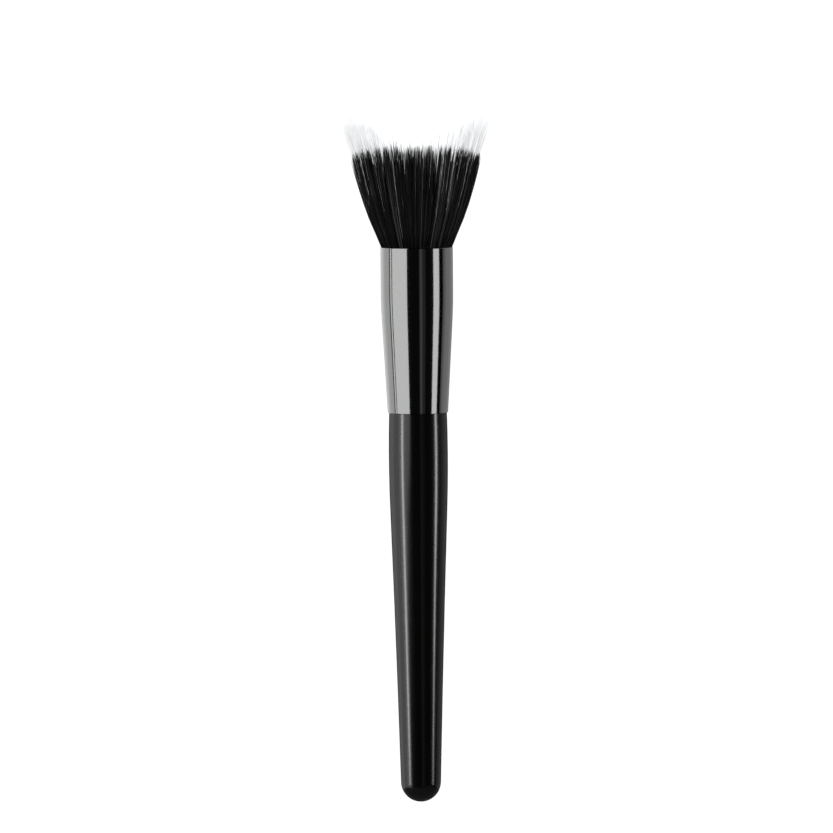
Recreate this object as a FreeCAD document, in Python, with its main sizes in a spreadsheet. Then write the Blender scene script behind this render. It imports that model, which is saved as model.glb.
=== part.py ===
import FreeCAD
import Part

import math
import os

import Sketcher

# A duo-fibre stippling brush: a lacquered wooden handle, a drawn metal ferrule, and a round tuft of short black
# hair mixed with longer white fibres, which is tied with thread and cast into the ferrule with resin.
#
# The brush stands on its own axis. +Z runs from the butt of the handle to the tips, and the origin is the lowest
# point of the butt. Lengths are in millimetres.

SIZES = {
    # Handle, from the butt up
    "handle_length": 102.45,
    "butt_radius": 5.24,
    "waist_bend": 7000.0,
    "belly_bend": 380.0,
    "belly_drop": 11.5,
    "shoulder_step": 0.31,
    # Tenon, the turned peg that the ferrule slides over, and its glue grooves
    "tenon_length": 21.0,
    "tenon_chamfer": 0.8,
    "groove_depth": 0.4,
    "groove_width": 1.2,
    "groove_start": 3.0,
    "groove_end": 3.3,
    # Ferrule, a cone that bends into a straight collar at its mouth
    "ferrule_length": 42.9,
    "ferrule_wall": 0.5,
    "base_radius": 7.83,
    "mouth_radius": 9.37,
    "collar_length": 15.0,
    "collar_bend": 145.0,
    "rim_round": 0.15,
    "glue_line": 0.27,
    "glue_gap": 0.02,
    # Hair roots, thread and resin inside the collar
    "root_depth": 8.5,
    "resin_wall": 0.45,
    "resin_floor": 2.0,
    "resin_cover": 1.7,
    "hair_gap": 0.05,
    "thread_radius": 0.25,
    "thread_press": 0.03,
    "thread_rise": 1.2,
    "thread_sink": 0.1,
    # Tuft above the mouth
    "flare_bend": 111.0,
    "tip_radius": 19.1,
    "tuft_length": 33.65,
    "crown_rise": 1.0,
    "white_show": 8.6,
    "black_dome": 110.0,
    # Locks of white fibre between the black hair
    "lock_half": 0.65,
    "lock_overlap": 1.5,
    "inner_ring": 3.4,
    "inner_lean": 3.2,
    "outer_inset": 1.1,
    "outer_tip_inset": 5.95,
    # How far a cutting outline runs past the piece that it cuts
    "waste": 1.0,
}
TENON_GROOVES = 4
THREAD_TURNS = 6
INNER_LOCKS = 6
OUTER_LOCKS = 12

# Heights above the butt
SHOULDER = "handle_length"
BELLY = "handle_length - belly_drop"
TENON_TOP = "handle_length + tenon_length"
GLUE_TOP = TENON_TOP + " - tenon_chamfer"
MOUTH = "handle_length + ferrule_length"
KINK = MOUTH + " - collar_length"
ROOT = MOUTH + " - root_depth"
THREAD_START = ROOT + " + thread_rise"
THREAD_PITCH = "thread_radius + thread_radius - thread_press"
WINDING = " + ".join([THREAD_PITCH] * (THREAD_TURNS - 1))
THREAD_TOP = f"{THREAD_START} + {WINDING} + thread_radius"
RESIN_TOP = THREAD_TOP + " + resin_cover"
TIP_RIM = MOUTH + " + tuft_length"
TIP_TOP = TIP_RIM + " + crown_rise"
BLACK_TOP = TIP_TOP + " - white_show"

# Radii
SHOULDER_RADIUS = "base_radius - shoulder_step"
BASE_BORE = "base_radius - ferrule_wall"
TENON = BASE_BORE + " - glue_line"
MOUTH_BORE = "mouth_radius - ferrule_wall"
NECK = MOUTH_BORE + " - hair_gap"
BUNDLE = MOUTH_BORE + " - resin_wall"
THREAD = BUNDLE + " - thread_sink - thread_radius"
PINCH = THREAD + " - thread_radius - hair_gap"
OUTER_RING = PINCH + " - outer_inset"

# The sketcher's numbers for an edge's points and for its own axes
START, END, CENTRE = 1, 2, 3
ACROSS_AXIS, UP_AXIS = -1, -2

doc = FreeCAD.newDocument("stippling_brush")


# --- Sizes ----------------------------------------------------------------------------------------------------


def make_sheet():
    """The spreadsheet that holds every size under its own alias."""
    sheet = doc.addObject("Spreadsheet::Sheet", "sizes")
    for row, (alias, number) in enumerate(SIZES.items(), start=1):
        sheet.set(f"A{row}", alias.replace("_", " "))
        sheet.set(f"B{row}", str(number))
        sheet.setAlias(f"B{row}", alias)
    doc.recompute()


def value(formula):
    """What a sum of sizes, such as "base_radius - ferrule_wall", comes to."""
    total, sign = 0.0, 1.0
    for word in formula.split():
        if word in ("+", "-"):
            sign = 1.0 if word == "+" else -1.0
        else:
            total += sign * (SIZES[word] if word in SIZES else float(word))
    return total


def bound(formula):
    """The same sum as an expression on the sheet's cells."""
    return " ".join(f"sizes.{word}" if word in SIZES else word for word in formula.split())


def point(across, up):
    return FreeCAD.Vector(value(across), value(up), 0)


# --- Sketches -------------------------------------------------------------------------------------------------


def new_body(label):
    body = doc.addObject("PartDesign::Body", label)
    body.Label = label
    body.Placement = FreeCAD.Placement()
    return body


def new_sketch(body, name, role="XZ_Plane", height=None):
    """A sketch on one of the body's own planes, lifted to a height above it if one is given."""
    sketch = body.newObject("Sketcher::SketchObject", f"{body.Label}_{name}")
    plane = next(item for item in body.Origin.OriginFeatures if item.Role == role)
    sketch.AttachmentSupport = [(plane, "")]
    sketch.MapMode = "FlatFace"
    if height:
        sketch.setExpression("AttachmentOffset.Base.z", bound(height))
    return sketch


def rule(sketch, kind, *args):
    return sketch.addConstraint(Sketcher.Constraint(kind, *args))


def hold(sketch, formula, kind, *args):
    """Adds a dimension that follows a sum of sizes."""
    number = rule(sketch, kind, *args, value(formula))
    sketch.setExpression(f"Constraints[{number}]", bound(formula))


def line(sketch, first, last, guide=False):
    return sketch.addGeometry(Part.LineSegment(first, last), guide)


def circle(centre, radius):
    return Part.Circle(centre, FreeCAD.Vector(0, 0, 1), radius)


def arc(sketch, centre, first, last):
    """An arc that runs anticlockwise from first to last."""
    angles = [math.atan2(end.y - centre.y, end.x - centre.x) for end in (first, last)]
    return sketch.addGeometry(Part.ArcOfCircle(circle(centre, (first - centre).Length), *angles))


def meeting(one, reach, other, other_reach):
    """The point at given distances from two others, on the left of the way from one to the other."""
    way = other - one
    along = (reach**2 - other_reach**2 + way.Length**2) / (2 * way.Length)
    left = FreeCAD.Vector(-way.y, way.x, 0).normalize()
    return one + way * (along / way.Length) + left * math.sqrt(reach**2 - along**2)


def ends_of(sketch):
    """Both ends of every edge that isn't a guide, as (edge, which end, where it is)."""
    ends = []
    for number, edge in enumerate(sketch.Geometry):
        if not sketch.getConstruction(number):
            ends.append((number, START, edge.StartPoint))
            ends.append((number, END, edge.EndPoint))
    return ends


def weld(sketch, smooth=()):
    """Ties the ends of edges that meet. Where both edges are in smooth, they also meet tangent."""
    ends = ends_of(sketch)
    for index, (edge, end, place) in enumerate(ends):
        for other, other_end, other_place in ends[:index]:
            if other != edge and place.isEqual(other_place, 1e-6):
                kind = "Tangent" if {edge, other} <= set(smooth) else "Coincident"
                rule(sketch, kind, other, other_end, edge, end)


def pin(sketch, edge, end, across, up):
    """Holds a point of an edge at two sums of sizes from the origin, where "0" means on the axis."""
    for formula, kind, axis in ((across, "DistanceX", UP_AXIS), (up, "DistanceY", ACROSS_AXIS)):
        if formula == "0":
            rule(sketch, "PointOnObject", edge, end, axis)
        else:
            hold(sketch, formula, kind, -1, START, edge, end)


def pin_corners(sketch, *corners):
    for corner in corners:
        edge, end = next((e, n) for e, n, place in ends_of(sketch) if place.isEqual(point(*corner), 1e-6))
        pin(sketch, edge, end, *corner)


def draw(sketch, *corners):
    """Straight lines from corner to corner, each corner a pair of sums."""
    for first, last in zip(corners, corners[1:]):
        line(sketch, point(*first), point(*last))


def polygon(sketch, *corners):
    """A closed outline of straight lines with every corner held."""
    draw(sketch, *corners, corners[0])
    weld(sketch)
    pin_corners(sketch, *corners)


# --- Features -------------------------------------------------------------------------------------------------


def turn(body, sketch, kind="Revolution"):
    """Turns a sketch a full circle about the brush's axis. A Revolution adds, and a Groove cuts."""
    feature = body.newObject(f"PartDesign::{kind}", f"{sketch.Name}_turned")
    feature.Profile = sketch
    feature.ReferenceAxis = (sketch, ["V_Axis"])
    feature.Angle = 360
    doc.recompute()
    return feature


def ring_edges(shape, across, up):
    """The names of the edges that circle the axis at that radius and height."""
    names = []
    for number, edge in enumerate(shape.Edges, start=1):
        if edge.Degenerated or not isinstance(edge.Curve, Part.Circle):
            continue
        centred = edge.Curve.Center.isEqual(FreeCAD.Vector(0, 0, value(up)), 1e-4)
        if centred and abs(edge.Curve.Radius - value(across)) < 1e-4:
            names.append(f"Edge{number}")
    return names


def blend(body, kind, size, *rings):
    """A Fillet or Chamfer of one size on rings given as radius and height."""
    base = body.Tip
    feature = body.newObject(f"PartDesign::{kind}", f"{body.Label}_{size}")
    feature.Base = (base, [name for ring in rings for name in ring_edges(base.Shape, *ring)])
    feature.setExpression("Radius" if kind == "Fillet" else "Size", bound(size))
    doc.recompute()


def repeat(body, kind, feature, count, **settings):
    """A LinearPattern or PolarPattern of one feature, which becomes the body's tip."""
    row = body.newObject(f"PartDesign::{kind}", f"{feature.Name}_row")
    row.Originals = [feature]
    for name, setting in settings.items():
        setattr(row, name, setting)
    row.Occurrences = count
    body.Tip = row
    return row


def groove_row(body, kind, inner, outer, inset):
    """The rings around the tenon: grooves in the wood, or the ridges of glue that fill them."""
    sketch = new_sketch(body, "groove")
    low = f"{SHOULDER} + groove_start + {inset}"
    high = f"{SHOULDER} + groove_start + groove_width - {inset}"
    polygon(sketch, (inner, low), (outer, low), (outer, high), (inner, high))
    ring = turn(body, sketch, kind)
    row = repeat(body, "LinearPattern", ring, TENON_GROOVES, Direction=(sketch, ["V_Axis"]))
    row.setExpression("Length", bound("tenon_length - groove_start - groove_end - groove_width"))
    doc.recompute()


def draw_tuft(sketch):
    """The free hair's outline: up its side from the ferrule's mouth, over its crown and down the axis."""
    neck, rim, crown = (NECK, MOUTH), ("tip_radius", TIP_RIM), ("0", TIP_TOP)
    bend = value("flare_bend")
    side = arc(sketch, meeting(point(*neck), bend, point(*rim), bend), point(*neck), point(*rim))
    drop = value("crown_rise")
    crown_radius = (value("tip_radius") ** 2 + drop**2) / (2 * drop)
    cap = arc(sketch, point("0", TIP_TOP) - FreeCAD.Vector(0, crown_radius, 0), point(*rim), point(*crown))
    draw(sketch, crown, ("0", MOUTH), neck)
    weld(sketch)
    pin_corners(sketch, neck, rim, crown, ("0", MOUTH))
    hold(sketch, "flare_bend", "Radius", side)
    rule(sketch, "PointOnObject", cap, CENTRE, UP_AXIS)


def cut_dome(body, top, far):
    """Cuts the tuft along the dome where the black hair ends, away to a height above or below the dome."""
    sketch = new_sketch(body, "dome")
    edge = "tip_radius + waste"
    centre = point("0", f"{top} - black_dome")
    rim = FreeCAD.Vector(value(edge), centre.y + math.sqrt(value("black_dome") ** 2 - value(edge) ** 2), 0)
    dome = arc(sketch, centre, rim, point("0", top))
    draw(sketch, ("0", top), ("0", far), (edge, far))
    side = line(sketch, point(edge, far), rim)
    weld(sketch)
    pin_corners(sketch, ("0", top), ("0", far), (edge, far))
    rule(sketch, "Vertical", side)
    rule(sketch, "PointOnObject", dome, CENTRE, UP_AXIS)
    hold(sketch, "black_dome", "Radius", dome)
    turn(body, sketch, "Groove")


def add_locks(body, kind, name, ring, head, count, half):
    """A ring of square locks that lean out from the ferrule's mouth to the tips, each as wide as twice the sum in
    half. An AdditivePipe makes the locks, and a SubtractivePipe makes the channels that they run in."""
    route = new_sketch(body, f"{name}_route")
    ends = ((ring, MOUTH), (head, f"{BLACK_TOP} + lock_overlap"))
    draw(route, *ends)
    pin_corners(route, *ends)
    section = new_sketch(body, f"{name}_section", "XY_Plane", MOUTH)
    less = half.replace("+", "-")
    near, far, right, left = f"{ring} - {less}", f"{ring} + {half}", f"0 - {less}", half
    polygon(section, (near, right), (far, right), (far, left), (near, left))
    doc.recompute()
    pipe = body.newObject(f"PartDesign::{kind}", f"{body.Label}_{name}")
    pipe.Profile = section
    pipe.Spine = (route, ["Edge1"])
    doc.recompute()
    if count > 1:
        repeat(body, "PolarPattern", pipe, count, Axis=(section, ["N_Axis"]), Angle=360)
        doc.recompute()


def add_all_locks(body, kind, half):
    add_locks(body, kind, "middle_lock", "0", "0", 1, half)
    add_locks(body, kind, "inner_lock", "inner_ring", "inner_ring + inner_lean", INNER_LOCKS, half)
    add_locks(body, kind, "outer_lock", OUTER_RING, "tip_radius - outer_tip_inset", OUTER_LOCKS, half)


# --- Pieces ---------------------------------------------------------------------------------------------------


def make_handle():
    """Turned from one piece of wood: a round butt, a slightly hollow taper, a belly, then the tenon."""
    body = new_body("handle")
    sketch = new_sketch(body, "outline")
    shoulder, butt_centre = point(SHOULDER_RADIUS, SHOULDER), point("0", "butt_radius")
    fall = math.sqrt(value("belly_bend") ** 2 - value("belly_drop") ** 2)
    belly_centre = point(SHOULDER_RADIUS, BELLY) - FreeCAD.Vector(fall, 0, 0)
    belly_reach, butt_reach = value("waist_bend + belly_bend"), value("waist_bend + butt_radius")
    waist_centre = meeting(belly_centre, belly_reach, butt_centre, butt_reach)
    butt_end = butt_centre + (waist_centre - butt_centre) * (value("butt_radius") / butt_reach)
    belly_start = belly_centre + (waist_centre - belly_centre) * (value("belly_bend") / belly_reach)

    butt = arc(sketch, butt_centre, point("0", "0"), butt_end)
    waist = arc(sketch, waist_centre, belly_start, butt_end)
    belly = arc(sketch, belly_centre, belly_start, shoulder)
    corners = ((SHOULDER_RADIUS, SHOULDER), (TENON, SHOULDER), (TENON, TENON_TOP), ("0", TENON_TOP), ("0", "0"))
    draw(sketch, *corners)
    weld(sketch, smooth=(butt, waist, belly))
    pin_corners(sketch, *corners)
    rule(sketch, "PointOnObject", butt, CENTRE, UP_AXIS)
    hold(sketch, BELLY, "DistanceY", -1, START, belly, CENTRE)
    hold(sketch, "butt_radius", "Radius", butt)
    hold(sketch, "waist_bend", "Radius", waist)
    hold(sketch, "belly_bend", "Radius", belly)
    turn(body, sketch)
    blend(body, "Chamfer", "tenon_chamfer", (TENON, TENON_TOP))
    groove_row(body, "Groove", f"{TENON} - groove_depth", f"{TENON} + waste", "0")
    return body


def draw_wall(sketch, base, mouth):
    """One face of the ferrule's wall: up the cone, round the bend and up the collar. The bend is tangent to
    both, and bulges outward when the cone widens upward, inward when it narrows. A guide carries the cone on
    to the kink, where its line would meet the collar's."""
    foot, kink, top = point(base, SHOULDER), point(mouth, KINK), point(mouth, MOUTH)
    slope = (kink - foot).normalize()
    lean = math.atan2(slope.x, slope.y)
    reach = value("collar_bend") * math.tan(abs(lean) / 2)
    first, last = kink - slope * reach, kink + FreeCAD.Vector(0, reach, 0)
    centre = last - FreeCAD.Vector(math.copysign(value("collar_bend"), lean), 0, 0)
    guide = line(sketch, foot, kink, guide=True)
    cone = line(sketch, foot, first)
    bend = arc(sketch, centre, first, last) if lean > 0 else arc(sketch, centre, last, first)
    collar = line(sketch, last, top)
    return guide, cone, bend, collar


def hold_wall(sketch, base, mouth, guide, cone, bend, collar):
    pin(sketch, guide, START, base, SHOULDER)
    pin(sketch, guide, END, mouth, KINK)
    pin(sketch, collar, END, mouth, MOUTH)
    rule(sketch, "Coincident", guide, START, cone, START)
    rule(sketch, "PointOnObject", cone, END, guide)
    rule(sketch, "Vertical", collar)
    hold(sketch, "collar_bend", "Radius", bend)


def make_ferrule():
    """Drawn from one tube: a cone over the tenon that bends into a straight collar round the hair."""
    body = new_body("ferrule")
    sketch = new_sketch(body, "outline")
    faces = (("base_radius", "mouth_radius"), (BASE_BORE, MOUTH_BORE))
    walls = [draw_wall(sketch, *face) for face in faces]
    line(sketch, point("mouth_radius", MOUTH), point(MOUTH_BORE, MOUTH))
    line(sketch, point("base_radius", SHOULDER), point(BASE_BORE, SHOULDER))
    weld(sketch, smooth=[edge for wall in walls for edge in wall])
    for face, wall in zip(faces, walls):
        hold_wall(sketch, *face, *wall)
    turn(body, sketch)
    blend(body, "Fillet", "rim_round", ("base_radius", SHOULDER), ("mouth_radius", MOUTH), (MOUTH_BORE, MOUTH))
    return body


def make_tenon_adhesive():
    """The set glue between the tenon and the ferrule's cone, with ridges where it fills the grooves."""
    body = new_body("tenon_adhesive")
    sketch = new_sketch(body, "outline")
    inner = f"{TENON} + glue_gap"
    low, high = f"{BASE_BORE} - glue_gap", f"{MOUTH_BORE} - glue_gap"
    polygon(sketch, (inner, SHOULDER), (low, SHOULDER), (high, KINK), (inner, KINK))
    turn(body, sketch)
    top = new_sketch(body, "top")
    past = f"{KINK} + waste"
    polygon(top, ("0", GLUE_TOP), ("mouth_radius", GLUE_TOP), ("mouth_radius", past), ("0", past))
    turn(body, top, "Groove")
    groove_row(body, "Revolution", f"{TENON} - groove_depth + glue_gap", low, "glue_gap")
    return body


def make_root_resin():
    """The cup of clear resin that the hair roots are cast in."""
    body = new_body("root_resin")
    sketch = new_sketch(body, "outline")
    outer, inner = f"{MOUTH_BORE} - glue_gap", f"{BUNDLE} + hair_gap"
    bottom = f"{ROOT} - resin_floor"
    outside = (("0", bottom), (outer, bottom), (outer, RESIN_TOP))
    inside = ((inner, RESIN_TOP), (inner, ROOT), ("0", ROOT))
    polygon(sketch, *outside, *inside)
    turn(body, sketch)
    return body


def make_binding_thread():
    """Thread wound tight round the roots, in turns that press against each other. Each turn is a closed ring."""
    body = new_body("binding_thread")
    section = new_sketch(body, "section")
    edge = section.addGeometry(circle(point(THREAD, THREAD_START), value("thread_radius")))
    pin(section, edge, CENTRE, THREAD, THREAD_START)
    hold(section, "thread_radius", "Radius", edge)
    ring = turn(body, section)
    row = repeat(body, "LinearPattern", ring, THREAD_TURNS, Direction=(section, ["V_Axis"]))
    row.setExpression("Length", bound(WINDING))
    doc.recompute()
    return body


def make_hair_roots():
    """The roots of all the hair inside the collar, black and white together, pinched by the thread."""
    body = new_body("hair_roots")
    sketch = new_sketch(body, "outline")
    low, high = f"{THREAD_START} - thread_radius - hair_gap", f"{THREAD_TOP} + hair_gap"
    shelf = f"{RESIN_TOP} + hair_gap"
    pinch = ((BUNDLE, low), (PINCH, low), (PINCH, high), (BUNDLE, high))
    collar = ((BUNDLE, shelf), (NECK, shelf), (NECK, MOUTH))
    polygon(sketch, ("0", ROOT), (BUNDLE, ROOT), *pinch, *collar, ("0", MOUTH))
    turn(body, sketch)
    return body


def make_black_hair():
    """The short black hair, which flares out of the ferrule and ends in a dome."""
    body = new_body("black_hair")
    sketch = new_sketch(body, "outline")
    draw_tuft(sketch)
    turn(body, sketch)
    cut_dome(body, BLACK_TOP, f"{TIP_TOP} + waste")
    add_all_locks(body, "SubtractivePipe", "lock_half + hair_gap")
    return body


def make_white_fibres():
    """The long white fibres: a cap of tips above the black hair, and locks that run down through it."""
    body = new_body("white_fibres")
    sketch = new_sketch(body, "outline")
    draw_tuft(sketch)
    turn(body, sketch)
    cut_dome(body, f"{BLACK_TOP} + hair_gap", f"{MOUTH} - waste")
    add_all_locks(body, "AdditivePipe", "lock_half")
    return body


# --- Build ----------------------------------------------------------------------------------------------------


def export(bodies):
    """Stops if any object failed, then writes one STEP file per piece."""
    doc.recompute()
    failed = [item.Name for item in doc.Objects if "Invalid" in item.State or "Error" in item.State]
    failed += [body.Label for body in bodies if body.Shape.isNull() or not body.Shape.isValid()]
    if failed:
        raise RuntimeError("These objects did not build: " + ", ".join(failed))
    os.makedirs("parts", exist_ok=True)
    for body in bodies:
        body.Shape.exportStep(f"parts/{body.Label}.step")
        print(body.Label, len(body.Shape.Solids), round(body.Shape.Volume, 1))


make_sheet()
export(
    [
        make_handle(),
        make_ferrule(),
        make_tenon_adhesive(),
        make_root_resin(),
        make_binding_thread(),
        make_hair_roots(),
        make_black_hair(),
        make_white_fibres(),
    ]
)
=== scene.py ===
import math

import bpy
import numpy as np
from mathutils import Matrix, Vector


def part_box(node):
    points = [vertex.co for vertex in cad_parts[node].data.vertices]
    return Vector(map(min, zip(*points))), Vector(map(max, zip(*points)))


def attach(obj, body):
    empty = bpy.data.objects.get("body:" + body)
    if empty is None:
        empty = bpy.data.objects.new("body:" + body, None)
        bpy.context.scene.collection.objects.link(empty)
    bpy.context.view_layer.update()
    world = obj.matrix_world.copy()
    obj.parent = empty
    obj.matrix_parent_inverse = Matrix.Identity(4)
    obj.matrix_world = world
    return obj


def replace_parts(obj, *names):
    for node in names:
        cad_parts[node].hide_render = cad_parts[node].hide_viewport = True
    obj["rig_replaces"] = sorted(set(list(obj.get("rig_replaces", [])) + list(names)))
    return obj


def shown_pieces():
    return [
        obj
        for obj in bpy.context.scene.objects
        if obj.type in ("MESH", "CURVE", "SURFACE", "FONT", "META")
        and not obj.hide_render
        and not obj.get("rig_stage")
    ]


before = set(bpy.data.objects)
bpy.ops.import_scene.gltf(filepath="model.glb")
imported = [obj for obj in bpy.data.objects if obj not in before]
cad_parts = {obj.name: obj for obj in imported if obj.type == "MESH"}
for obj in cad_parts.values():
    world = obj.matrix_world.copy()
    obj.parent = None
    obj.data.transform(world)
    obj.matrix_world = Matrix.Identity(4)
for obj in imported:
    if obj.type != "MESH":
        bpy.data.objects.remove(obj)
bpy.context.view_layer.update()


# --- Handle ---
# A round handle turned from beech, thick just below the ferrule and rounded at its butt. The outside
# is dipped in black lacquer and polished. The tenon that goes up into the ferrule stays bare, so that
# the glue holds.

MM = 0.001    # one millimetre, in metres


def linear(colour):
    """An sRGB hex colour as linear RGBA."""
    parts = [int(colour[i:i + 2], 16) / 255 for i in (1, 3, 5)]
    return [c / 12.92 if c <= 0.04045 else ((c + 0.055) / 1.055) ** 2.4 for c in parts] + [1.0]


def new_material(name):
    """An empty node material."""
    material = bpy.data.materials.new(name)
    material.use_nodes = True
    material.node_tree.nodes.clear()
    return material


def add(material, kind, sockets=None, stops=None, **settings):
    """Adds one node. Settings are its properties, sockets holds a value or a link for each input
    named, and stops are the places and colours of a ramp."""
    tree = material.node_tree
    node = tree.nodes.new(kind)
    for name, value in settings.items():
        setattr(node, name, value)
    for socket, source in (sockets or {}).items():
        if isinstance(source, bpy.types.NodeSocket):
            tree.links.new(source, node.inputs[socket])
        else:
            node.inputs[socket].default_value = source
    if stops:
        elements = node.color_ramp.elements
        while len(elements) < len(stops):
            elements.new(0.5)
        for element, (place, colour) in zip(elements, stops):
            element.position, element.color = place, colour
    return node


def paint(piece, material):
    """Puts the material on every material slot of the piece."""
    if not piece.data.materials:
        piece.data.materials.append(material)
    for held in piece.material_slots:
        held.material = material


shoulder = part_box("ferrule")[0].z
dip_line = shoulder + 0.02 * MM    # the lacquer ends here, just inside the ferrule
lacquer_cloud = 14 * MM
orange_peel = 1.6 * MM
peel_depth = 0.01 * MM
dust_speck = 0.7 * MM
growth_ring = 1.1 * MM
wave_bands = 20                    # radians that a wave texture turns by over one unit

# Polished black lacquer: an almost black body with a clear, slightly soft reflection, as dipped
# lacquer has. The bare tenon is pale, matt beech with its growth rings.
lacquer = new_material("black_dipped_lacquer_on_beech")
place = add(lacquer, "ShaderNodeTexCoord").outputs["Object"]
up = add(lacquer, "ShaderNodeSeparateXYZ", {0: place}).outputs["Z"]
bare = add(lacquer, "ShaderNodeMath", {0: up, 1: dip_line}, operation="GREATER_THAN").outputs[0]
cloud = add(lacquer, "ShaderNodeTexNoise",
            {"Vector": place, "Scale": 1 / lacquer_cloud, "Detail": 3.0}).outputs["Fac"]
coat = add(lacquer, "ShaderNodeMix", {0: cloud, 6: linear("#020202"), 7: linear("#040404")},
           data_type="RGBA").outputs[2]
grain = add(lacquer, "ShaderNodeTexWave",
            {"Vector": place, "Scale": math.tau / (wave_bands * growth_ring), "Distortion": 3.0,
             "Detail": 3.0}, wave_type="BANDS", bands_direction="X").outputs["Fac"]
wood = add(lacquer, "ShaderNodeMix", {0: grain, 6: linear("#c79c6d"), 7: linear("#a97d50")},
           data_type="RGBA").outputs[2]
colour = add(lacquer, "ShaderNodeMix", {0: bare, 6: coat, 7: wood}, data_type="RGBA").outputs[2]
dust = add(lacquer, "ShaderNodeTexNoise",
           {"Vector": place, "Scale": 1 / dust_speck, "Detail": 4.0}).outputs["Fac"]
polish = add(lacquer, "ShaderNodeMapRange",
             {"Value": dust, "To Min": 0.16, "To Max": 0.22}).outputs[0]
rough = add(lacquer, "ShaderNodeMix", {0: bare, 2: polish, 3: 0.65}).outputs[0]
peel = add(lacquer, "ShaderNodeTexNoise",
           {"Vector": place, "Scale": 1 / orange_peel, "Detail": 1.0}).outputs["Fac"]
bump = add(lacquer, "ShaderNodeBump",
           {"Strength": 0.15, "Distance": peel_depth, "Height": peel}).outputs[0]
skin = add(lacquer, "ShaderNodeBsdfPrincipled",
           {"Base Color": colour, "Roughness": rough, "Normal": bump, "IOR": 1.5}).outputs[0]
add(lacquer, "ShaderNodeOutputMaterial", {0: skin})
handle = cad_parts["handle"]
paint(handle, lacquer)


# --- Tenon adhesive ---
# The set epoxy between the handle's tenon and the ferrule. It fills the tenon's ring grooves and locks
# the two together. It is spread by hand as a paste, so it holds small bubbles.

bubble = 0.5 * MM
bubble_depth = 0.05 * MM

# Set amber epoxy: clear honey brown with paler specks where air stayed in it.
epoxy = new_material("set_amber_epoxy")
place = add(epoxy, "ShaderNodeTexCoord").outputs["Object"]
cells = add(epoxy, "ShaderNodeTexVoronoi",
            {"Vector": place, "Scale": 1 / bubble}).outputs["Distance"]
colour = add(epoxy, "ShaderNodeValToRGB", {0: cells}, stops=[
    (0.08, linear("#e8d3a0")), (0.2, linear("#c49a52")), (1.0, linear("#a87c3a"))]).outputs[0]
bump = add(epoxy, "ShaderNodeBump",
           {"Strength": 0.4, "Distance": bubble_depth, "Height": cells}).outputs[0]
skin = add(epoxy, "ShaderNodeBsdfPrincipled",
           {"Base Color": colour, "Roughness": 0.3, "Normal": bump, "IOR": 1.55}).outputs[0]
add(epoxy, "ShaderNodeOutputMaterial", {0: skin})
paint(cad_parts["tenon_adhesive"], epoxy)


# --- Ferrule ---
# A seamless aluminium tube, drawn and spun to a cone with a straight collar, then polished and plated
# in a dark gunmetal tone. It is glued on the tenon at the bottom, and its rolled mouth grips the hair.

draw_line = 0.35 * MM              # how far apart the lines that drawing leaves are
draw_line_length = 60 * draw_line
draw_line_depth = 0.01 * MM
plating_haze = 0.5 * MM

# Gunmetal plating: a dark mirror with clean edges in its reflections, and faint lines along the tube
# where it was drawn. The unplated inside is paler and duller.
plating = new_material("bright_gunmetal_plated_aluminium")
place = add(plating, "ShaderNodeTexCoord").outputs["Object"]
stretched = add(plating, "ShaderNodeVectorMath",
                {0: place, 1: (1 / draw_line, 1 / draw_line, 1 / draw_line_length)},
                operation="MULTIPLY").outputs[0]
lines = add(plating, "ShaderNodeTexNoise",
            {"Vector": stretched, "Scale": 1.0, "Detail": 2.0}).outputs["Fac"]
haze = add(plating, "ShaderNodeTexNoise",
           {"Vector": place, "Scale": 1 / plating_haze, "Detail": 3.0}).outputs["Fac"]
flat = add(plating, "ShaderNodeVectorMath", {0: place, 1: (1.0, 1.0, 0.0)},
           operation="MULTIPLY").outputs[0]
facing = add(plating, "ShaderNodeNewGeometry").outputs["Normal"]
side = add(plating, "ShaderNodeVectorMath", {0: flat, 1: facing},
           operation="DOT_PRODUCT").outputs["Value"]
inside = add(plating, "ShaderNodeMath", {0: side, 1: 0.0}, operation="LESS_THAN").outputs[0]
plate = add(plating, "ShaderNodeMix", {0: haze, 6: linear("#888988"), 7: linear("#919291")},
            data_type="RGBA").outputs[2]
colour = add(plating, "ShaderNodeMix", {0: inside, 6: plate, 7: linear("#babbba")},
             data_type="RGBA").outputs[2]
polish = add(plating, "ShaderNodeMapRange",
             {"Value": haze, "To Min": 0.07, "To Max": 0.12}).outputs[0]
rough = add(plating, "ShaderNodeMix", {0: inside, 2: polish, 3: 0.4}).outputs[0]
bump = add(plating, "ShaderNodeBump",
           {"Strength": 0.05, "Distance": draw_line_depth, "Height": lines}).outputs[0]
skin = add(plating, "ShaderNodeBsdfPrincipled",
           {"Base Color": colour, "Metallic": 1.0, "Roughness": rough, "Normal": bump}).outputs[0]
add(plating, "ShaderNodeOutputMaterial", {0: skin})
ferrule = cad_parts["ferrule"]
paint(ferrule, plating)


# --- Root resin ---
# The cup of casting resin that holds the ends of all the hair. It is poured in round the tied bundle
# and sets hard against the ferrule's wall.

resin_cloud = 2.5 * MM

# Set casting resin: pale straw, glossy, a little cloudy.
resin = new_material("cloudy_casting_resin")
place = add(resin, "ShaderNodeTexCoord").outputs["Object"]
cloud = add(resin, "ShaderNodeTexNoise",
            {"Vector": place, "Scale": 1 / resin_cloud, "Detail": 4.0}).outputs["Fac"]
colour = add(resin, "ShaderNodeMix", {0: cloud, 6: linear("#efe9d6"), 7: linear("#cfc6a8")},
             data_type="RGBA").outputs[2]
rough = add(resin, "ShaderNodeMapRange", {"Value": cloud, "To Min": 0.15, "To Max": 0.4}).outputs[0]
skin = add(resin, "ShaderNodeBsdfPrincipled",
           {"Base Color": colour, "Roughness": rough, "IOR": 1.5}).outputs[0]
add(resin, "ShaderNodeOutputMaterial", {0: skin})
paint(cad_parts["root_resin"], resin)


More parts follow.
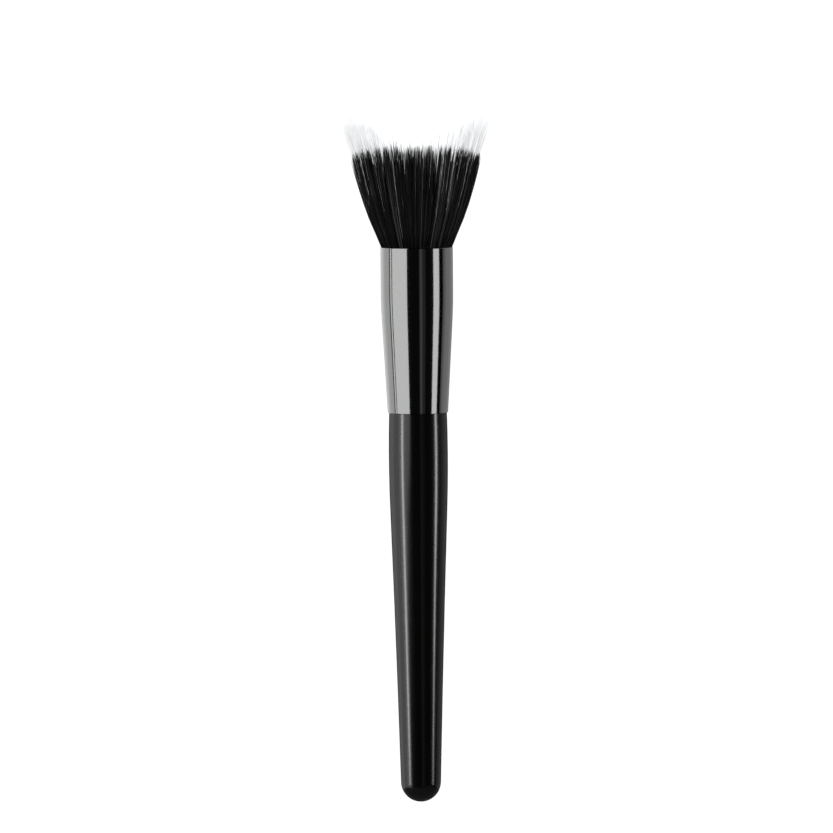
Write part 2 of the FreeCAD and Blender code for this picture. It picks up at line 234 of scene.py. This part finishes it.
# --- Binding thread ---
# Twisted cotton wound tightly round the bundle of hair before it is glued, so that the bundle keeps
# its shape.

ply = 0.35 * MM
ply_depth = 0.05 * MM
lint = 0.2 * MM
thread_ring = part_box("binding_thread")[1].x

# Undyed cotton: matt cream, with painted shade in the slanted grooves of its twist.
cotton = new_material("undyed_twisted_cotton")
place = add(cotton, "ShaderNodeTexCoord").outputs["Object"]
parts = add(cotton, "ShaderNodeSeparateXYZ", {0: place}).outputs
turn_angle = add(cotton, "ShaderNodeMath", {0: parts["Y"], 1: parts["X"]},
                 operation="ARCTAN2").outputs[0]
along = add(cotton, "ShaderNodeMath", {0: turn_angle, 1: thread_ring / ply * math.tau},
            operation="MULTIPLY").outputs[0]
slant = add(cotton, "ShaderNodeMath", {0: parts["Z"], 1: math.tau / ply, 2: along},
            operation="MULTIPLY_ADD").outputs[0]
twist = add(cotton, "ShaderNodeMath", {0: slant}, operation="SINE").outputs[0]
fuzz = add(cotton, "ShaderNodeTexNoise", {"Vector": place, "Scale": 1 / lint}).outputs["Fac"]
shade = add(cotton, "ShaderNodeMapRange", {"Value": twist, "From Min": -1.0}).outputs[0]
# Painted shade: the colour darkens in the twist's grooves, where the bump is low, and the lint noise
# mottles it.
groove_shade_and_lint = add(cotton, "ShaderNodeMath", {0: shade, 1: fuzz}, operation="MULTIPLY").outputs[0]
colour = add(cotton, "ShaderNodeMix", {0: groove_shade_and_lint, 6: linear("#b7ae97"), 7: linear("#f2ecdc")},
             data_type="RGBA").outputs[2]
bump = add(cotton, "ShaderNodeBump",
           {"Strength": 0.6, "Distance": ply_depth, "Height": shade}).outputs[0]
skin = add(cotton, "ShaderNodeBsdfPrincipled",
           {"Base Color": colour, "Roughness": 0.85, "Normal": bump,
            "Sheen Weight": 0.3}).outputs[0]
add(cotton, "ShaderNodeOutputMaterial", {0: skin})
paint(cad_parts["binding_thread"], cotton)


# --- Hair roots ---
# The black hair and white fibres where they are packed side by side inside the ferrule, a few thousand
# of them in one tight round bundle. The thread ties it, and the resin holds the ends.

packed_hair = 0.22 * MM    # real hairs are 0.08 mm; drawn coarser to show
packed_hair_depth = 0.05 * MM
hair_run = 0.02            # each cell is 50 times as long as it is wide

# Packed hair: each hair is a small cell seen from the end and a fine upright line seen from the side.
packed = new_material("packed_black_and_white_hair")
place = add(packed, "ShaderNodeTexCoord").outputs["Object"]
across = add(packed, "ShaderNodeVectorMath", {0: place, 1: (1.0, 1.0, hair_run)},
             operation="MULTIPLY").outputs[0]
cell = add(packed, "ShaderNodeTexVoronoi", {"Vector": across, "Scale": 1 / packed_hair}).outputs
pick = add(packed, "ShaderNodeSeparateColor", {0: cell["Color"]}).outputs[0]
white = add(packed, "ShaderNodeMath", {0: pick, 1: 0.7}, operation="GREATER_THAN").outputs[0]
colour = add(packed, "ShaderNodeMix", {0: white, 6: linear("#141312"), 7: linear("#e4e2dc")},
             data_type="RGBA").outputs[2]
bump = add(packed, "ShaderNodeBump",
           {"Strength": 0.5, "Distance": packed_hair_depth, "Height": cell["Distance"]},
           invert=True).outputs[0]
skin = add(packed, "ShaderNodeBsdfPrincipled",
           {"Base Color": colour, "Roughness": 0.5, "Normal": bump}).outputs[0]
add(packed, "ShaderNodeOutputMaterial", {0: skin})
paint(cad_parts["hair_roots"], packed)


# --- Black hair ---
# The short hair of the two lengths: straight dark goat hair that spreads from the ferrule's mouth like
# a tulip and ends in a low ragged dome, lower at the left and right. The hairs cling in small locks,
# which part near their tips.

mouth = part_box("black_hair")[0].z
neck_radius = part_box("hair_roots")[1].x
rim_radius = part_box("white_fibres")[1].x
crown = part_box("white_fibres")[1].z
black_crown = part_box("black_hair")[1].z
crown_rise = 1.0 * MM            # how far the middle of the tips stands above their rim
rim_height = crown - crown_rise
flare_bend = 111 * MM            # radius of the tuft's hollow side
hair_start = mouth - 0.5 * MM    # the hairs begin just inside the ferrule
golden_angle = math.pi * (3 - math.sqrt(5))
shaken = 0.6                     # of the space between two hairs
widest = 1.012                   # of the tuft's radius, the farthest that a hair strays
hair_wave = 0.006                # of the tuft's radius
waves = (0.5, 1.3)               # fewest and most on one hair
thinnest, thickest = 0.75, 1.15  # of a hair's usual width


def flare(height):
    """The tuft's outer radius at a height: one arc from the ferrule's mouth to the rim of the tips."""
    chord = Vector((rim_radius - neck_radius, rim_height - mouth))
    middle = Vector(((rim_radius + neck_radius) / 2, (rim_height + mouth) / 2))
    inward = Vector((-chord.y, chord.x)).normalized()
    centre = middle + inward * math.sqrt(flare_bend**2 - (chord.length / 2) ** 2)
    return centre.x + np.sqrt(flare_bend**2 - (height - centre.y) ** 2)


def ring_of(angle):
    """Places on a circle of radius 1."""
    return np.stack([np.cos(angle), np.sin(angle)], 1)


def spread(count, outer, draw):
    """Places in a disc of radius outer, evenly spaced and then shaken a little."""
    i = np.arange(count)
    places = outer * np.sqrt((i + 0.5) / count)[:, None] * ring_of(i * golden_angle)
    places = places + draw.normal(0, outer * shaken / math.sqrt(count), (count, 2))
    reach = np.maximum(np.hypot(places[:, 0], places[:, 1]) / outer, 1.0)
    return places / reach[:, None]


def strands(name, paths, thickness, draw):
    """One mesh of closed three-sided hairs. paths is hairs x points x 3, and thickness is
    hairs x points. The UV map holds a hair's own chance number across and its length upwards."""
    hairs, points = paths.shape[:2]
    start = draw.uniform(0, math.tau, hairs)
    corner = start[:, None] + np.arange(3)[None] * math.tau / 3
    ring = np.stack([np.cos(corner), np.sin(corner), np.zeros_like(corner)], 2)
    verts = paths[:, :, None] + ring[:, None] * thickness[:, :, None, None] / 2
    first = np.arange(hairs)[:, None, None, None] * points * 3
    low = first + np.arange(points - 1)[None, :, None, None] * 3
    at = np.arange(3)[None, None, :, None]
    after = (at + 1) % 3
    quads = np.concatenate([low + at, low + after, low + 3 + after, low + 3 + at], 3).reshape(-1, 4)
    base = np.arange(hairs)[:, None] * points * 3
    caps = np.concatenate([base + [[2, 1, 0]], base + (points - 1) * 3 + [[0, 1, 2]]])
    corners = np.concatenate([quads.ravel(), caps.ravel()])
    sides = np.concatenate([np.full(len(quads), 4), np.full(len(caps), 3)])
    mesh = bpy.data.meshes.new(name)
    mesh.vertices.add(hairs * points * 3)
    mesh.vertices.foreach_set("co", verts.astype(np.float32).ravel())
    mesh.loops.add(len(corners))
    mesh.loops.foreach_set("vertex_index", corners.astype(np.int32))
    mesh.polygons.add(len(sides))
    mesh.polygons.foreach_set("loop_start", (np.cumsum(sides) - sides).astype(np.int32))
    mesh.polygons.foreach_set("use_smooth", np.ones(len(sides), bool))
    own = np.repeat(draw.uniform(0.02, 0.98, hairs), points * 3)
    height = paths[..., 2]
    run = np.repeat((height - height[:, :1]) / (height[:, -1:] - height[:, :1]), 3)
    layer = mesh.uv_layers.new(name="OFBake")
    layer.data.foreach_set("uv", np.stack([own, run], 1)[corners].astype(np.float32).ravel())
    mesh.update()
    mesh.validate()
    piece = bpy.data.objects.new(name, mesh)
    bpy.context.scene.collection.objects.link(piece)
    return piece


def comb(roots, tips, heights, bend, steps, draw):
    """The line of each hair from its root to its tip, both as shares of the tuft's radius, with a
    slight wave. The higher bend is, the nearer to its tip a hair starts to lean."""
    count = len(roots)
    height = hair_start + (heights[:, None] - hair_start) * steps
    across = roots[:, None] + (tips - roots)[:, None] * (steps ** bend[:, None])[..., None]
    swing = draw.normal(0, hair_wave, (count, 1, 2))
    turns = draw.uniform(*waves, (count, 1)) * steps + draw.uniform(0, 1, (count, 1))
    across = across + swing * np.sin(math.tau * turns)[..., None] * steps[:, None]
    reach = np.maximum(np.hypot(across[..., 0], across[..., 1]) / widest, 1.0)
    radius = flare(np.maximum(height, mouth))
    return np.concatenate([across * (radius / reach)[..., None], height[..., None]], 2)


black_width = 0.17 * MM          # real hair is 0.08 mm; thicker here, and fewer
black_count = 8000               # through the whole tuft
skin_count = 3400                # more of them in its outer layer, which is what shows
lock_count = 1400
black_roots = 0.98               # of the tuft's radius, as are the next six
skin_layer = (0.93, 1.02)
lock_roots = 0.99
lock_lean = 0.011
black_tips = 0.95
black_stray = 0.009
black_core = 0.8
lock_pull = 0.8                  # the most that a hair is drawn to the middle of its lock
lock_uneven = 0.2 * MM
black_uneven = 0.55 * MM
black_lift = 0.85 * MM           # the longest hairs stand above the dome
black_dome = 110 * MM            # radius of the dome
black_rim = 0.93 * rim_radius    # radius of the dome's edge
side_drop = 3.0 * MM             # the outermost hair at left and right splays, and so ends lower
black_bend = 1.7

draw = np.random.default_rng(7)
roots = spread(black_count, black_roots, draw)
outer = ring_of(draw.uniform(0, math.tau, skin_count))
roots = np.concatenate([roots, outer * draw.uniform(*skin_layer, (skin_count, 1))])
locks = spread(lock_count, lock_roots, draw)
nearest = np.argmin(((roots[:, None] - locks[None]) ** 2).sum(2), 1)
lean = draw.normal(0, lock_lean, (lock_count, 2))
lock_length = draw.normal(0, lock_uneven, lock_count)
pull = lock_pull * draw.beta(1.2, 3.0, lock_count)    # most locks are loose, and a few are tight
tips = roots + (locks[nearest] - roots) * pull[nearest, None] + lean[nearest]
tips = tips * black_tips + draw.normal(0, black_stray, tips.shape)
from_axis = np.minimum(np.hypot(tips[:, 0], tips[:, 1]), 1.0) * black_rim
heights = black_crown - black_dome + np.sqrt(black_dome**2 - from_axis**2)
heights = heights - side_drop * tips[:, 0] ** 4 + lock_length[nearest]
heights = heights + draw.normal(0, black_uneven, len(tips)) + black_lift

# Goat hair, dyed black: soft black with a low sheen along each hair, and some greyer than others.
goat = new_material("black_goat_hair")
hair_scale = 0.8 * MM            # real scales are 0.02 mm; drawn coarser to show
strand = add(goat, "ShaderNodeUVMap", uv_map="OFBake").outputs[0]
own = add(goat, "ShaderNodeSeparateXYZ", {0: strand}).outputs
colour = add(goat, "ShaderNodeValToRGB", {0: own["X"]}, stops=[
    (0.0, linear("#040404")), (0.7, linear("#0a0a0a")), (0.9, linear("#1c1c1c")),
    (0.97, linear("#3c3c3c"))]).outputs[0]
place = add(goat, "ShaderNodeTexCoord").outputs["Object"]
scales = add(goat, "ShaderNodeTexNoise",
             {"Vector": place, "Scale": 1 / hair_scale, "Detail": 2.0}).outputs["Fac"]
rough = add(goat, "ShaderNodeMapRange",
            {"Value": scales, "To Min": 0.32, "To Max": 0.55}).outputs[0]
skin = add(goat, "ShaderNodeBsdfPrincipled",
           {"Base Color": colour, "Roughness": rough, "IOR": 1.55}).outputs[0]
add(goat, "ShaderNodeOutputMaterial", {0: skin})

steps = np.array([0.0, 0.17, 0.34, 0.51, 0.68, 0.83, 0.93, 1.0])
taper = np.array([1.0, 1.0, 1.0, 1.0, 1.0, 0.9, 0.7, 0.2])
every = np.arange(len(steps))
few = np.array([0, 2, 4, 6, 7])    # the hairs hidden in the middle need fewer points
deep = np.hypot(roots[:, 0], roots[:, 1]) < black_core
left = roots[:, 0] < 0
for name, chosen, kept in (("black_hair_core", deep, few), ("black_hair_left", ~deep & left, every),
                           ("black_hair_right", ~deep & ~left, every)):
    count = int(chosen.sum())
    bend = np.full(count, black_bend)
    paths = comb(roots[chosen], tips[chosen], heights[chosen], bend, steps[kept], draw)
    width = black_width * draw.uniform(thinnest, thickest, (count, 1))
    piece = strands(name, paths, width * taper[kept], draw)
    paint(piece, goat)
    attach(piece, "root")
    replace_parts(piece, "black_hair")


# --- White fibres ---
# The long hair of the two lengths: straight white nylon fibres mixed evenly through the black hair
# from the ferrule up, and standing above it in a loose, nearly flat brush of fine tapered tips.

white_width = 0.115 * MM         # real fibres are 0.07 mm; thicker here, and fewer
white_count = 9600
stray_count = 80                 # very fine ones that show on the outside of the black hair
stray_width = 0.14 * white_width
white_roots = 0.89               # of the tuft's radius, as are the next five
white_tips = 1.025
white_stray = 0.01
stray_layer = (0.95, 1.01)
stray_lean = 0.012
white_core = 0.72
white_uneven = 1.6 * MM
white_lift = 0.6 * MM            # the longest fibres stand above the rim
white_bend = (2.1, 3.3)          # least and most

roots = spread(white_count, white_roots, draw)
tips = roots / white_roots * white_tips + draw.normal(0, white_stray, (white_count, 2))
shown = ring_of(draw.uniform(0, math.tau, stray_count))
roots = np.concatenate([roots, shown * draw.uniform(*stray_layer, (stray_count, 1))])
stray_tips = shown * draw.uniform(*stray_layer, (stray_count, 1))
stray_tips = stray_tips + draw.normal(0, stray_lean, (stray_count, 2))
tips = np.concatenate([tips, stray_tips])
widths = np.concatenate([np.full(white_count, white_width), np.full(stray_count, stray_width)])
from_axis = np.minimum(np.hypot(tips[:, 0], tips[:, 1]), 1.0)
heights = rim_height + crown_rise * (1 - from_axis**2) + white_lift
heights = heights - np.abs(draw.normal(0, white_uneven, len(tips)))

# White nylon fibre: bright clean white, slightly glossy, with fine tapered tips.
nylon = new_material("white_nylon_fibre")
fibre_gloss = 1.5 * MM
strand = add(nylon, "ShaderNodeUVMap", uv_map="OFBake").outputs[0]
own = add(nylon, "ShaderNodeSeparateXYZ", {0: strand}).outputs
colour = add(nylon, "ShaderNodeMix", {0: own["X"], 6: linear("#f3f4f5"), 7: linear("#f9fafb")},
             data_type="RGBA").outputs[2]
place = add(nylon, "ShaderNodeTexCoord").outputs["Object"]
gloss = add(nylon, "ShaderNodeTexNoise", {"Vector": place, "Scale": 1 / fibre_gloss}).outputs["Fac"]
rough = add(nylon, "ShaderNodeMapRange", {"Value": gloss, "To Min": 0.3, "To Max": 0.5}).outputs[0]
skin = add(nylon, "ShaderNodeBsdfPrincipled",
           {"Base Color": colour, "Roughness": rough, "IOR": 1.53}).outputs[0]
add(nylon, "ShaderNodeOutputMaterial", {0: skin})

taper = np.array([1.0, 1.0, 1.0, 1.0, 1.0, 1.0, 0.75, 0.1])
deep = np.hypot(roots[:, 0], roots[:, 1]) < white_core
left = roots[:, 0] < 0
for name, chosen, kept in (("white_fibres_core", deep, few),
                           ("white_fibres_left", ~deep & left, every),
                           ("white_fibres_right", ~deep & ~left, every)):
    count = int(chosen.sum())
    bend = draw.uniform(*white_bend, count)
    paths = comb(roots[chosen], tips[chosen], heights[chosen], bend, steps[kept], draw)
    width = widths[chosen, None] * draw.uniform(thinnest, thickest, (count, 1))
    piece = strands(name, paths, width * taper[kept], draw)
    paint(piece, nylon)
    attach(piece, "root")
    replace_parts(piece, "white_fibres")


# --- Studio ---
# A plain pale floor, a white surround, and tall soft panels of light in a ring round the brush, with
# panels of its own for the ferrule, the handle and the hair. The brush hangs above the floor, because
# it can't stand on its round butt.

floor_height = -0.35
floor_radius = 30.0
floor_sides = 96
floor_cloud = 25 * MM

# Matt paper: a pale floor with a faint, even cloud in it.
paper = new_material("pale_matt_paper")
place = add(paper, "ShaderNodeTexCoord").outputs["Object"]
cloud = add(paper, "ShaderNodeTexNoise", {"Vector": place, "Scale": 1 / floor_cloud}).outputs["Fac"]
colour = add(paper, "ShaderNodeMix", {0: cloud, 6: linear("#f2f2f2"), 7: linear("#f6f6f6")},
             data_type="RGBA").outputs[2]
skin = add(paper, "ShaderNodeBsdfPrincipled", {"Base Color": colour, "Roughness": 0.9}).outputs[0]
add(paper, "ShaderNodeOutputMaterial", {0: skin})

disc = bpy.data.meshes.new("floor")
edge = ring_of(np.arange(floor_sides) * math.tau / floor_sides) * floor_radius
disc.from_pydata([(x, y, floor_height) for x, y in edge.tolist()], [], [list(range(floor_sides))])
floor = bpy.data.objects.new("floor", disc)
bpy.context.scene.collection.objects.link(floor)
paint(floor, paper)
floor.visible_glossy = False
floor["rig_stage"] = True

world = bpy.data.worlds.new("white_surround")
bpy.context.scene.world = world
world.use_nodes = True
world.node_tree.nodes["Background"].inputs["Color"].default_value = linear("#ffffff")
world.node_tree.nodes["Background"].inputs["Strength"].default_value = 1.05
world.cycles_visibility.glossy = False

panel_distance = 0.7
panel_foot, panel_top = -0.3, 0.7


def only(name, *pieces):
    """A collection that makes a light fall on these pieces alone."""
    group = bpy.data.collections.new(name)
    for piece in pieces:
        group.objects.link(piece)
    return group


def stand(name, lamp, place, turn, lights):
    """Puts a lamp at a place, turned from facing down, unseen by the camera."""
    lit = bpy.data.objects.new(name, lamp)
    lit.location, lit.rotation_euler = place, turn
    lit.visible_camera = False
    lit.light_linking.receiver_collection = lights
    bpy.context.scene.collection.objects.link(lit)
    return lit


def sheet_light(name, width, height, radiance, place, turn, lights):
    """A flat soft light."""
    lamp = bpy.data.lights.new(name, "AREA")
    lamp.shape = "RECTANGLE"
    lamp.size, lamp.size_y = width, height
    lamp.energy = radiance * math.pi * width * height
    return stand(name, lamp, place, turn, lights)


def panel(name, start, end, radiance, lights, low=panel_foot, high=panel_top):
    """A tall flat light that fills the directions from start to end, in degrees right of the
    camera's side."""
    middle, half = math.radians((start + end) / 2), math.radians((end - start) / 2)
    toward = Vector((math.sin(middle), -math.cos(middle), 0))
    return sheet_light(name, 2 * panel_distance * math.tan(half), high - low, radiance,
                       toward * panel_distance + Vector((0, 0, (low + high) / 2)),
                       toward.to_track_quat("Z", "Y").to_euler(), lights)


on_handle, on_ferrule = only("lit_handle", handle), only("lit_ferrule", ferrule)
on_gloss = only("lit_gloss", handle, ferrule)
on_hair = only("lit_hair", *[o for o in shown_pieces() if "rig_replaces" in o])
bright = 1.75

panel("ferrule_key", -85.8, -32, bright, on_ferrule)
panel("handle_key", -85.8, -55, bright, on_handle)
panel("handle_key_inner", -55, -47, bright, on_handle, low=-0.065)
panel("handle_key_edge", -47, -39, bright, on_handle, low=-0.03)
panel("handle_key_end", -39, -32, bright, on_handle, low=0.01)
panel("key_strip", -94.8, -89.0, bright, on_gloss)
panel("dim_front", -31, 54, 0.008, on_ferrule)
panel("dim_strip", 8, 17, 0.13, on_gloss)
panel("dim_strip_edge", 17, 27, 0.04, on_gloss)
panel("ferrule_side", -128, -99.5, 1.05, on_ferrule)
panel("ferrule_back_left", -165, -128, 1.2, on_ferrule)
panel("ferrule_strip", 54, 75, bright, on_ferrule)
panel("ferrule_right", 91, 98, 0.23, on_ferrule)
panel("ferrule_right_far", 98, 105, 0.34, on_ferrule)
panel("ferrule_back_right", 105, 165, 0.45, on_ferrule)
panel("handle_side", -128, -96, 0.95, on_handle)
panel("handle_back_left", -150, -128, 0.55, on_handle)
panel("handle_right", 97, 110, 0.2, on_handle)
panel("handle_back_right", 110, 150, 0.27, on_handle)
panel("left_core", -69, -62, 10.8, on_handle, low=-0.16)
panel("right_core", 69.7, 77.7, 10.4, on_handle, low=-0.1)
panel("right_core_end", 69.7, 77.7, 5.6, on_handle, low=-0.16, high=-0.1)
panel("hair_left", -100, -60, 0.8, on_hair)
panel("hair_right", 60, 100, 0.8, on_hair)
above, facing_down = (0.0, 0.0, 0.9), (0.0, 0.0, 0.0)
top = sheet_light("hair_top", 1.4, 1.0, 0.4, above, facing_down, on_hair)
top.visible_glossy = False
front = panel("front_fill", -15, 15, 4.8, on_hair, low=0.0, high=0.5)
front.visible_glossy = False

# A small spot on the middle of the tips, which leaves their left and right greyer.
spot_radius = 14 * MM            # of its circle of light on the tips
spot = bpy.data.lights.new("tip_spot", "SPOT")
spot.energy = 22.0
spot.spot_size = 2 * math.atan(spot_radius / panel_distance)
spot.spot_blend = 1.0
spot.shadow_soft_size = 5 * MM
in_front, facing_back = (0.0, -panel_distance, crown), (math.radians(90), 0.0, 0.0)
stand("tip_spot", spot, in_front, facing_back, on_hair).visible_glossy = False

sun = bpy.data.lights.new("floor_light", "SUN")
sun.energy = 0.6
sun.use_shadow = False
stand("floor_light", sun, above, facing_down, only("lit_floor", floor))
below, facing_up = (0.0, 0.0, -0.3), (math.pi, 0.0, 0.0)
sheet_light("low_card", 1.2, 1.2, 0.1, below, facing_up, on_handle)

# The camera stands a long way off at the height of the tips and looks slightly down.
camera_distance = 0.95
camera_side = -0.4 * MM
camera_height = 0.178
looks_down = math.radians(4.6145)
camera_roll = math.radians(-0.47)
camera = bpy.data.objects.new("camera", bpy.data.cameras.new("camera"))
camera.data.sensor_width = 36.0
camera.data.lens = 158.3
camera.data.clip_start, camera.data.clip_end = 0.05, 20.0
camera.location = (camera_side, -camera_distance, camera_height)
camera.rotation_mode = "XYZ"
camera.rotation_euler = (math.pi / 2 - looks_down, 0.0, 0.0)
camera.rotation_euler.rotate_axis("Z", camera_roll)
bpy.context.scene.collection.objects.link(camera)
bpy.context.scene.camera = camera
bpy.context.scene.view_settings.view_transform = "Standard"

bpy.context.view_layer.update()
